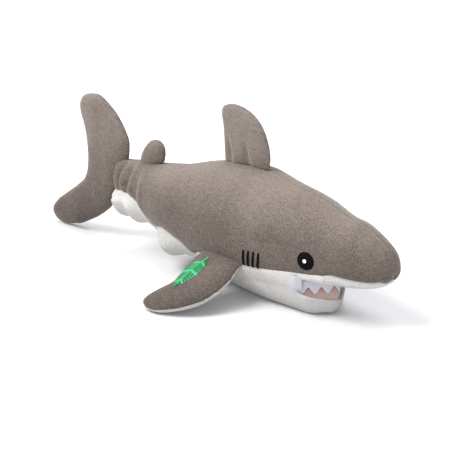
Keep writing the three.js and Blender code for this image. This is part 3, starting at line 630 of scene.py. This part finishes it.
def make_lip():
    """White skin under the head: from seam to seam, its rounded edge overhanging the teeth."""
    places = lengthwise(NOSE_X, HINGE_X, GRID * 0.6)
    x = smooth_row(SECTIONS, places)[:, 0]
    seam = seam_turn(places)
    bottom = np.maximum(smooth_row(SECTIONS, places)[:, 2], MOUTH_HEIGHT - 0.4 * MM)
    start = np.clip((x - HINGE_X) / LIP_START, 0.02, 1)
    start = np.sqrt(1 - (1 - start) ** 2)
    angle = np.linspace(0, math.pi / 2, FINE)
    grids = []
    for _, side in SIDES:
        edge = skin(places, seam, side)
        rows = []
        for point, low, share in zip(edge, bottom, start):
            depth = (point[2] - low) * share
            y = np.abs(point[1]) * np.cos(angle) ** (2 / UNDERSIDE_POWER)
            z = -depth * np.sin(angle) ** (2 / UNDERSIDE_POWER)
            even = evenly(np.stack([y, z], 1), LIP_COLUMNS)
            y, z = np.interp(even, angle / angle[-1], y), np.interp(even, angle / angle[-1], z)
            out = 1.3 * MM * np.sin(np.clip(-z / (5 * MM), 0, 1) * math.pi / 2) * share
            wave = pile(np.stack([y * 0 + point[0], y, z], 1), 0.1 * MM)
            y = side * (y + (out + wave) * y / max(y[0], 1 * MM))
            rows.append(np.stack([y * 0 + point[0], y, point[2] + z], 1))
        rows = np.array(rows)
        grids.append(np.concatenate([nose_cap(rows[0]), rows]))
    obj = grids_object("lip_skin", grids, WHITE)
    stands_for(obj, "white_plush", "snout_underside", fill=0.7)


def rim_height(x):
    return RIM_CORNER_HEIGHT + (RIM_FRONT_HEIGHT - RIM_CORNER_HEIGHT) * (x - HINGE_X) / JAW_LENGTH


def jaw_rim():
    """(place, turn) along the right half of the jaw's rim, from the corner to the front."""
    x = np.linspace(HINGE_X, HINGE_X + JAW_LENGTH + 2 * MM, 800)
    place = place_at(x)
    bottom = smooth_row(SECTIONS, place)[:, 2]
    inside = bottom < rim_height(x)
    x, place = x[inside], place[inside]
    turn = turn_at(place, rim_height(x))
    turn[-1] = 1.0
    return place, turn


RIM_ROLL = [(0.0, 0.0), (0.5, 0.9), (1.5, 1.3), (2.6, 0.8), (3.2, -0.8)]  # inward, up, in mm
JAW_HALF_WIDTH = 28 * MM  # at the corner of the mouth
JAW_TAPER = 1.8  # power of its outline from above
TUCK = 12 * MM  # the throat narrows into the jaw over this length


def jaw_outline(x):
    """Half the width of the jaw's rim, seen from above, and how much it narrows the plain body."""
    front = JAW_LENGTH - 0.5 * MM
    share = np.clip((x - HINGE_X) / front, 0, 1)
    half = JAW_HALF_WIDTH * (1 - share**JAW_TAPER)
    place = place_at(np.minimum(x, HINGE_X + JAW_LENGTH - 2 * MM))
    plain = np.abs(outline(place, turn_at(place, rim_height(x)), 1)[..., 1])
    return half, np.clip(half / np.maximum(plain, 1 * MM), 0.02, 1)


def narrowed(points, below_seam):
    """Draws the skin in towards the narrower jaw; below_seam is 0 at the seam and 1 well below it."""
    x = points[..., 0]
    _, ahead_share = jaw_outline(np.maximum(x, HINGE_X))
    ease = np.clip((x - HINGE_X + TUCK) / TUCK, 0, 1)
    ease = ease * ease * (3 - 2 * ease)
    share = 1 - (1 - ahead_share) * np.where(x < HINGE_X, ease, 1) * below_seam
    return points * np.stack([share * 0 + 1, share, share * 0 + 1], -1)


SPINE_REACH = 9 * MM  # how far ahead of the hinge the jaw's rows gather under the chin


def make_throat():
    """White skin from under the fins to the chin, with the rolled rim of the jaw."""
    places = lengthwise(THROAT_BACK_X, HINGE_X)
    rim_place, rim_turn = jaw_rim()
    grids = []
    rims = {}
    for word, side in SIDES:
        seam = seam_turn(places)
        sides = strip(places, seam, places * 0 + 1, side, THROAT_COLUMNS)
        below = np.clip((sides[:, :1, 2] - sides[..., 2]) / (10 * MM), 0, 1)
        grids.append(narrowed(sides, below))
        corner = grids[-1][-1]
        corner = corner[corner[:, 2] > RIM_CORNER_HEIGHT - 2 * MM]
        shifts = [(5 * MM * t, -side * 4.5 * MM * t**0.8, 0) for t in np.linspace(0, 1, 6)]
        grids.append(np.array([corner + np.array(shift) for shift in shifts]))
        rim_curve = outline(rim_place, rim_turn, side)
        shares = evenly(rim_curve, RIM_POINTS)
        index = shares * (len(rim_place) - 1)
        place = np.interp(index, np.arange(len(rim_place)), rim_place)
        turn = np.interp(index, np.arange(len(rim_place)), rim_turn)
        fade = np.sin(np.linspace(0, 1, RIM_POINTS) * math.pi / 2)
        spine = place_at(HINGE_X + SPINE_REACH * fade)
        rows = []
        for p, t, s in zip(place, turn, spine):
            path = np.linspace(0, 1, FINE)
            path_place, path_turn = p + (s - p) * path, t + (1 - t) * path
            even = evenly(outline(path_place, path_turn, side), LIP_COLUMNS)
            rows.append(skin(p + (s - p) * even, t + (1 - t) * even, side))
        rows = narrowed(np.array(rows), 1.0)
        grids.append(rows)
        rim = rows[:, 0]
        centre = np.array([HINGE_X - 4 * MM, 0, 0])
        inward = centre - rim
        inward[:, 2] = 0
        inward /= np.linalg.norm(inward, axis=1, keepdims=True)
        up = np.array([0, 0, 1])
        grids.append(np.stack([rim + MM * (a * inward + b * up) for a, b in RIM_ROLL], 1))
        rims[word] = rim + MM * (RIM_ROLL[-1][0] * inward + RIM_ROLL[-1][1] * up)
    obj = grids_object("throat_skin", grids, WHITE)
    stands_for(obj, "white_plush", "jaw_panel", "jaw_stuffing", fill=0.7, rides=False)
    jaw_blend(obj)
    return obj, rims


def make_mouth(rims):
    """Pink linings: the floor in the jaw, and the roof and back of the mouth."""
    right, left = rims["right"], rims["left"]
    depth = np.linspace(-1, 1, 25)
    floor = []
    for a, b in zip(right, left):
        row = []
        for share in depth:
            point = (a + b) / 2 + (b - a) / 2 * share
            dip = 2.2 * MM * (1 - share**2) ** 0.5 - 1.6 * MM * (1 - share**2)
            row.append(point - np.array([0, 0, dip]))
        floor.append(row)
    obj = grids_object("mouth_floor_lining", [np.array(floor)], PINK, None)
    stands_for(obj, "pink_fabric", "mouth_lining_lower", fill=0.4, rides=False)
    jaw_blend(obj)

    edge = mouth_edge()
    half = edge[: len(edge) // 2 + 1][::6]
    roof = []
    for point in half:
        across = np.linspace(-1, 1, 25)[:, None]
        reach = np.array([0, abs(point[1]) * 0.82, 0])
        row = np.array([point[0], 0, MOUTH_HEIGHT + 1.2 * MM]) + across * reach
        row[:, 2] += 1.5 * MM * (1 - across[:, 0] ** 2)
        roof.append(row)
    first = roof[0]
    back = [first + np.array([0, 0, -fall]) for fall in np.linspace(0, 12 * MM, 8)]
    obj = grids_object("mouth_roof_lining", [np.array(roof), np.array(back)], PINK, None)
    stands_for(obj, "pink_fabric", "palate_lining")


# ---- teeth
def make_teeth():
    edge = mouth_edge()
    steps = np.linalg.norm(np.diff(edge, axis=0), axis=1)
    teeth = round(steps.sum() / TOOTH_WIDTH)
    per_tooth = 12
    count = teeth * per_tooth + 1
    shares = evenly(edge, count) * (len(edge) - 1)
    line = np.stack([np.interp(shares, np.arange(len(edge)), edge[:, k]) for k in range(3)], 1)
    inward = inward_of(line)
    rows = 9
    grids = []
    for layer in (0, 1):
        grid = []
        for i in range(count):
            phase = (i % per_tooth) / per_tooth
            fall = 1 - abs(phase * 2 - 1)
            fall = fall - 0.06 * hump(fall, 1, 0.15) + 0.05 * hump(fall, 0, 0.15)
            growth = 0.75 + 0.25 * math.sin(math.pi * i / (count - 1))
            drop = TOOTH_BAND + (TOOTH_HEIGHT - TOOTH_BAND) * fall * growth
            column = []
            for j in range(rows):
                share = j / (rows - 1)
                bow = 0.5 * MM * math.sin(math.pi * share) + 0.5 * MM * fall * share
                inset = 2.4 * MM + layer * FELT - bow
                upward = TOOTH_TUCK - share * (drop + TOOTH_TUCK)
                column.append(line[i] + inward[i] * inset + np.array([0, 0, upward]))
            grid.append(column)
        grids.append(np.array(grid))
    outer, inner = grids
    sides = [(outer[:, -1], inner[:, -1]), (outer[0], inner[0]), (outer[-1], inner[-1])]
    ends = [np.stack(pair, 1) for pair in sides]
    obj = grids_object("felt_teeth", [outer, inner, *ends], FELT_GREY, None)
    stands_for(obj, "felt", "upper_teeth_strip")


def make_tabs():
    """The square end of the felt strip, sewn over the skin at each corner of the mouth."""
    for word, side in SIDES:
        layers = []
        for lift in (0.2 * MM, 1.4 * MM):
            grid = []
            for x in np.linspace(-3.5 * MM, 5.5 * MM, 10):
                row = []
                for z in np.linspace(34.5 * MM, 23.5 * MM, 12):
                    place = place_at(HINGE_X + x)
                    turn = turn_at(place, z)
                    flat = skin(place, turn, side) + outward(place, turn, side) * lift
                    below = (smooth_row(SECTIONS, place)[5] - z) / (10 * MM)
                    point = narrowed(flat, max(0, min(1, below)))
                    point[1] -= side * 2.6 * MM * np.clip(x / (4.5 * MM), 0, 1) ** 1.5
                    row.append(point)
                grid.append(row)
            layers.append(np.array(grid))
        a, b = layers
        edges = [(a[:, 0], b[:, 0]), (a[:, -1], b[:, -1]), (a[0], b[0]), (a[-1], b[-1])]
        rims = [np.stack(pair, 1) for pair in edges]
        obj = grids_object(f"felt_tab_{word}", [a, b, *rims], FELT_GREY, None)
        stands_for(obj, "felt")


def make_belly():
    places = lengthwise(THROAT_BACK_X, TAIL_X)
    grids = []
    for _, side in SIDES:
        grid = strip(places, seam_turn(places), places * 0 + 1, side, BELLY_COLUMNS)
        grids.append(np.concatenate([grid, tail_cap(grid[-1])]))
    obj = grids_object("belly_skin", grids, WHITE)
    stands_for(obj, "white_plush", "belly_panel", "rear_belly_panel", fill=0.7, rides=False)
    body_blend(obj)


# ---- fins
def joined_copy(name, nodes, grow):
    """One mesh of several CAD solids, each swollen a little so that they run together."""
    mesh = bmesh.new()
    for node in nodes:
        mesh.from_mesh(frame["nodes"][node].data)
    bmesh.ops.remove_doubles(mesh, verts=mesh.verts, dist=0.00002)
    mesh.normal_update()
    for vertex in mesh.verts:
        vertex.co += vertex.normal * grow
    data = bpy.data.meshes.new(name)
    mesh.to_mesh(data)
    mesh.free()
    return linked(name, data)


def move_points(obj, points):
    obj.data.vertices.foreach_set("co", points.astype(np.float32).reshape(-1))
    obj.data.update()


def apply_modifiers(obj):
    evaluated = obj.evaluated_get(bpy.context.evaluated_depsgraph_get())
    data = bpy.data.meshes.new_from_object(evaluated)
    obj.modifiers.clear()
    obj.data = data


def keep_largest(obj):
    """Deletes everything but the outer shell."""
    mesh = bmesh.new()
    mesh.from_mesh(obj.data)
    seen, shells = set(), []
    for start in mesh.verts:
        if start.index in seen:
            continue
        shell, queue = [], [start]
        seen.add(start.index)
        while queue:
            vertex = queue.pop()
            shell.append(vertex)
            for edge in vertex.link_edges:
                other = edge.other_vert(vertex)
                if other.index not in seen:
                    seen.add(other.index)
                    queue.append(other)
        shells.append(shell)
    shells.sort(key=len)
    small = [v for shell in shells[:-1] for v in shell]
    bmesh.ops.delete(mesh, geom=small, context="VERTS")
    mesh.to_mesh(obj.data)
    mesh.free()


# How one fin lies: its root, the way its span runs and the plane between its two panels.
Fin = namedtuple("Fin", "name nodes body parent root span normal")


def fin_of(name, nodes, body, parent, *vectors):
    return Fin(name, nodes, body, parent, *map(np.array, vectors))


FIN_VOXEL = 2.1 * MM
FIN_CAP = 2 * MM


def make_fin(fin, dimples, reach_in):
    obj = joined_copy(fin.name, fin.nodes, 0.35 * MM)
    remesh = obj.modifiers.new("skin", "REMESH")
    remesh.mode = "VOXEL"
    remesh.voxel_size = FIN_VOXEL
    relax = obj.modifiers.new("relax", "SMOOTH")
    relax.iterations = 5
    apply_modifiers(obj)
    keep_largest(obj)
    co = points_in(obj)
    height = (co - fin.root) @ fin.span
    plane = (co - fin.root) @ fin.normal
    low = height < 3 * MM
    pins = low | (np.abs(plane) < 0.9 * MM)
    co, _ = simulate(obj, pins, FIN_CAP)
    height = (co - fin.root) @ fin.span
    push = np.clip(1 - height / (5 * MM), 0, 1)[:, None] * reach_in
    co = co - push * fin.span
    move_points(obj, co)
    obj.modifiers.new("finer", "SUBSURF").levels = 1
    apply_modifiers(obj)
    co = points_in(obj)
    normals = np.array([v.normal for v in obj.data.vertices])
    plane = (co - fin.root) @ fin.normal
    edge = np.clip(1.4 - 2 * np.abs(normals @ fin.normal), 0, 1)
    lift = -1.4 * MM * hump(plane, 0, 1.4 * MM) * edge + pile(co, 0.12 * MM)
    for centre, width, tall, depth in dimples:
        away = co - np.array(centre)
        near = np.exp(-((away[:, 0] / width) ** 2) - ((away @ fin.span) / tall) ** 2)
        lift -= depth * near * np.abs(normals @ fin.normal)
    co = co + normals * lift[:, None]
    move_points(obj, co)
    dress(obj.data, GREY)
    return obj


def half_of(obj, fin, keep, name, material):
    """The part of a fin on one side of the plane between its panels."""
    mesh = bmesh.new()
    mesh.from_mesh(obj.data)
    bmesh.ops.bisect_plane(
        mesh,
        geom=[*mesh.verts, *mesh.edges, *mesh.faces],
        plane_co=Vector(fin.root),
        plane_no=Vector(fin.normal) * keep,
        clear_inner=True,
        dist=0.00001,
    )
    data = bpy.data.meshes.new(name)
    mesh.to_mesh(data)
    mesh.free()
    dress(data, material)
    return linked(name, data)


def attach(obj):
    """Bakes the fin skin's placement into its points."""
    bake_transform(obj)


def make_upright_fins():
    for name, joint, parent in (
        ("dorsal_fin", "dorsal_lean", "torso"),
        ("rear_dorsal_fin", "rear_dorsal_lean", "rear_body"),
    ):
        nodes = [f"{name}_left", f"{name}_right", f"{name}_stuffing"]
        low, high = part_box(f"{name}_stuffing")
        root = (JOINTS[joint]["pos_m"][0], 0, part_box(f"{name}_left")[0].z)
        fin = fin_of(f"{name}_skin", nodes, name, parent, root, (0, 0, 1), (0, 1, 0))
        dimples = []
        if name == "dorsal_fin":
            length = high.x - low.x
            for share, tall in ((0.2, 12 * MM), (0.62, 10 * MM)):
                dimples.append(((low.x + share * length, 0, low.z + 8 * MM), 3.2 * MM, tall, 3.2 * MM))
        obj = make_fin(fin, dimples, 5 * MM)
        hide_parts(*nodes)
        attach(obj)


def make_tail():
    nodes = ["tail_fin_left", "tail_fin_right", "tail_fin_stuffing"]
    root = (TAIL_X + 10 * MM, 0, TAIL_HEIGHT)
    fin = fin_of("tail_skin", nodes, "tail_fin", "rear_body", root, (-1, 0, 0), (0, 1, 0))
    centre = (TAIL_X - 22 * MM, 0, TAIL_HEIGHT + 18 * MM)
    obj = make_fin(fin, [(centre, 12 * MM, 7 * MM, 0.8 * MM)], 0)
    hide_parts(*nodes)
    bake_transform(obj)


def make_pectorals():
    made = {}
    for word, side in SIDES:
        joint = JOINTS[f"pectoral_{word}_flap"]
        name = f"pectoral_{word}"
        nodes = [f"{name}_upper", f"{name}_lower", f"{name}_stuffing"]
        droop = math.radians(FIN_DROOP)
        span = (0, side * math.cos(droop), -math.sin(droop))
        normal = (0, side * math.sin(droop), math.cos(droop))
        root = tuple(joint["pos_m"])
        fin = fin_of(f"{name}_skin", nodes, name, "torso", root, span, normal)
        hollow = np.array(root) + np.array(span) * 12 * MM
        obj = make_fin(fin, [(tuple(hollow), 6 * MM, 6 * MM, 1.5 * MM)], 9 * MM)
        top = half_of(obj, fin, 1, f"{name}_top_skin", GREY)
        under = half_of(obj, fin, -1, f"{name}_under_skin", WHITE)
        bpy.data.objects.remove(obj)
        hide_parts(nodes[0], nodes[2])
        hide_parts(nodes[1])
        made[word] = (fin, top)
        for piece in (top, under):
            attach(piece)
    return made


# ---- embroidery
def tree_of(*objects):
    points, faces = [], []
    for obj in objects:
        offset = len(points)
        points += [v.co.copy() for v in obj.data.vertices]
        faces += [[offset + i for i in f.vertices] for f in obj.data.polygons]
    return BVHTree.FromPolygons(points, faces)


def on_tree(tree, origin, direction):
    point, normal, _, _ = tree.ray_cast(Vector(origin), Vector(direction))
    if point is None:
        raise ValueError(f"nothing lies along {origin}, {direction}")
    if normal.dot(Vector(direction)) > 0:
        normal = -normal
    return point, normal


def stitch_patch(name, points_of, rows, columns, material):
    """A patch of satin stitch: points_of(u, v) gives a place and its outward normal, u and v 0 to 1."""
    top = []
    for i in range(rows + 1):
        for j in range(columns + 1):
            u, v = i / rows, j / columns
            point, normal = points_of(u, v)
            border = min(1, 5 * min(u, 1 - u, v, 1 - v) + 0.02)
            top.append(point + normal * (0.25 * MM + 0.9 * MM * math.sqrt(border)))
    return object_from(name, top, grid_faces(rows + 1, columns + 1), material)


def disc_on(name, material, tree, side, x, z, radius_x, radius_z, crown, threads):
    """A round patch of satin stitch with fine upright threads."""
    rings, sectors, lift = 14, 64, 0.1 * MM
    centre, normal = on_tree(tree, (x, side * OUTSIDE, z), (0, -side, 0))
    across = Vector((1, 0, 0))
    across = (across - normal * across.dot(normal)).normalized()
    upward = normal.cross(across).normalized()
    if upward.z < 0:
        upward = -upward
    points = [centre + normal * (lift + crown)]
    for i in range(1, rings + 2):
        share = min(i / rings, 1.0)
        for j in range(sectors):
            angle = 2 * math.pi * j / sectors
            flat = across * (share * radius_x * math.cos(angle))
            flat = flat + upward * (share * radius_z * math.sin(angle))
            target, _ = on_tree(tree, centre + flat + normal * 0.02, -normal)
            rise_by = lift + crown * math.sqrt(max(0, 1 - share**2.6)) if i <= rings else -1.0 * MM
            ridge = threads * math.cos(flat.dot(across) * 2 * math.pi / (0.75 * MM)) * (1 - share**4)
            points.append(target + normal * (rise_by + ridge))
    faces = [(0, 1 + j, 1 + (j + 1) % sectors) for j in range(sectors)]
    faces += grid_faces(rings + 1, sectors, offset=1, closed=True)
    return object_from(name, points, faces, material)


GLINT_RADII = (1.5 * MM, 1.6 * MM)


def make_eyes(backs):
    for word, side in SIDES:
        tree = tree_of(backs[word])
        low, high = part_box(f"eye_{word}")
        x, z = (low.x + high.x) / 2, (low.z + high.z) / 2
        radius = (high.z - low.z) / 2 * 1.03
        name = f"embroidered_eye_{word}"
        eye = disc_on(name, BLACK_THREAD, tree, side, x, z, radius, radius, 1.3 * MM, 0.06 * MM)
        stands_for(eye, "black_thread", f"eye_{word}")
        name, z = f"embroidered_glint_{word}", z + 0.2 * MM
        wide_by, tall_by = GLINT_RADII
        glint = disc_on(
            name, WHITE_THREAD, tree_of(eye), side, x, z, wide_by, tall_by, 0.5 * MM, 0.03 * MM
        )
        stands_for(glint, "white_thread", f"eye_glint_{word}")


def make_gills(backs, throat):
    for word, side in SIDES:
        tree = tree_of(backs[word], throat)
        for number in (1, 2, 3, 4):
            node = f"gill_stitch_{word}_{number}"
            low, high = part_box(node)
            lean = GILL_WIDTH - (high.x - low.x)

            def points_of(u, v):
                z = high.z + (low.z - high.z) * u
                bow = 0.4 * MM * math.sin(math.pi * u)
                middle = (low.x + high.x) / 2 + lean * (u - 0.5) + bow
                swell = 0.55 + 0.45 * math.sin(math.pi * min(max(u, 0.04), 0.96)) ** 0.5
                x = middle + (v - 0.5) * GILL_WIDTH * swell
                return on_tree(tree, (x, side * OUTSIDE, z), (0, -side, 0))

            obj = stitch_patch(f"embroidered_gill_{word}_{number}", points_of, 28, 8, BLACK_THREAD)
            stands_for(obj, "black_thread", node)


LEAF_STITCHES = 15


def make_leaf(fin, top):
    """A leaf on the right pectoral fin: slanted satin bars either side of a light midrib."""
    tree = tree_of(top)
    low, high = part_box("leaf_emblem")
    down = -Vector(fin.normal)
    span = Vector(fin.span)
    start_span = (Vector((0, high.y, high.z)) - Vector((0, fin.root[1], fin.root[2]))).dot(span)
    length = (Vector((0, low.y, low.z)) - Vector((0, high.y, high.z))).length
    middle_x, half_width = (low.x + high.x) / 2, (high.x - low.x) / 2
    origin = Vector((middle_x, fin.root[1], fin.root[2])) + span * start_span

    def surface(along, across):
        place = origin + span * along + Vector((across, 0, 0)) - down * 0.04
        return on_tree(tree, place, down)

    def half_at(share):
        share = min(max(share, 0), 1)
        return half_width * max(math.sin(math.pi * share**0.85), 0) ** 0.8

    pieces = {"dark": [], "light": []}
    for side in (-1, 1):
        for k in range(LEAF_STITCHES):
            share = (k + 0.5) / LEAF_STITCHES
            reach = half_at(share)
            slant = 0.16
            steps, columns = 10, 4
            bar = []
            for i in range(steps + 1):
                t = i / steps
                row = []
                for j in range(columns + 1):
                    w = (j / columns - 0.5) * 0.98 / LEAF_STITCHES
                    along_share = min(max(share - slant * 0.5 + slant * t * 0.6 + w, 0), 1)
                    across = side * min(reach * t, half_at(along_share) * 1.04 + 0.2 * MM)
                    point, normal = surface(along_share * length, across)
                    crown = 0.5 * MM * math.cos((j / columns - 0.5) * math.pi)
                    edge = 1 if t < 0.85 else (1 - t) / 0.15
                    row.append(point + normal * (0.25 * MM + crown * (0.35 + 0.65 * edge) + 0.3 * MM * edge))
                bar.append([tuple(p) for p in row])
            pieces["light" if k % 5 == 2 else "dark"].append(np.array(bar))
    rib = []
    for i in range(41):
        share = -0.12 + 1.12 * i / 40
        row = []
        for j in range(5):
            point, normal = surface(share * length, (j / 4 - 0.5) * 1.5 * MM * (1.2 - 0.7 * max(share, 0)))
            row.append(tuple(point + normal * (0.5 * MM + 0.8 * MM * math.sin(math.pi * j / 4))))
        rib.append(row)
    pieces["light"].append(np.array(rib))
    for word, material in (("dark", DARK_GREEN), ("light", LIGHT_GREEN)):
        obj = grids_object(f"leaf_{word}_stitches", pieces[word], material, None)
        if word == "dark":
            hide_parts("leaf_emblem")
        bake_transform(obj)


# ---- the toy
backs = make_backs()
throat, jaw_rims = make_throat()
make_eyes(backs)
make_gills(backs, throat)
for back in backs.values():
    body_blend(back)
make_lip()
make_mouth(jaw_rims)
make_teeth()
make_tabs()
make_belly()
make_upright_fins()
make_tail()
pectorals = make_pectorals()
make_leaf(*pectorals["right"])

# ---- studio
FLOOR_REACH = 8  # from the toy to each edge of the floor
FLOOR_DROP = 0.0004  # how far it lies below the toy
LIT_POINT = (0.02, 0, 0.04)


def make_floor():
    material, nodes, links, shader = node_tree("pale floor")
    grain = noise(nodes, links, EVEN, 40, 2)
    stops = [(0.3, (0.645, 0.645, 0.655)), (0.7, (0.655, 0.655, 0.665))]
    links.new(ramp(nodes, links, grain, stops), shader.inputs["Base Color"])
    preset(shader, {"Roughness": 1.0, "Specular IOR Level": 0.0})
    ways = ((-1, -1), (1, -1), (1, 1), (-1, 1))
    corners = [(x * FLOOR_REACH, y * FLOOR_REACH, -FLOOR_DROP) for x, y in ways]
    object_from("floor", corners, [(0, 1, 2, 3)], material)


def add_light(name, kind, place, strength, spread, colour):
    """A studio light aimed at the toy: spread is a sun's angle in degrees or a panel's side."""
    light = bpy.data.lights.new(name, kind)
    light.energy = strength
    light.color = colour
    if kind == "SUN":
        light.angle = math.radians(spread)
    else:
        light.size = spread
    obj = linked(name, light)
    obj.location = place
    obj.rotation_euler = (Vector(LIT_POINT) - Vector(place)).to_track_quat("-Z", "Y").to_euler()


make_floor()
world = bpy.data.worlds.new("studio")
world.use_nodes = True
sky = {"Color": (0.955, 0.975, 1.0, 1), "Strength": 0.66}
preset(world.node_tree.nodes["Background"], sky)
bpy.context.scene.world = world
add_light("key", "SUN", (-0.55, -0.75, 1.2), 3.6, 34, (1.0, 0.985, 0.965))
add_light("top", "SUN", (-0.1, 0.35, 1.5), 2.1, 42, (1, 1, 1))
add_light("fill", "AREA", (0.75, -0.7, 0.3), 3.2, 0.5, (1, 1, 1))

TARGET = Vector((0.0217, 0.00075, 0.045))
AZIMUTH, ELEVATION, DISTANCE = math.radians(43), math.radians(19), 1.2
LENS = 115.2  # focal length in mm, on the usual 36 mm sensor
camera = linked("camera", bpy.data.cameras.new("camera"))
camera.data.lens = LENS
level = math.cos(ELEVATION)
direction = Vector((level * math.sin(AZIMUTH), -level * math.cos(AZIMUTH), math.sin(ELEVATION)))
camera.location = TARGET + direction * DISTANCE
camera.rotation_euler = (-direction).to_track_quat("-Z", "Y").to_euler()
bpy.context.scene.camera = camera
bpy.context.scene.view_settings.view_transform = "Standard"
bpy.context.scene.view_settings.look = "None"
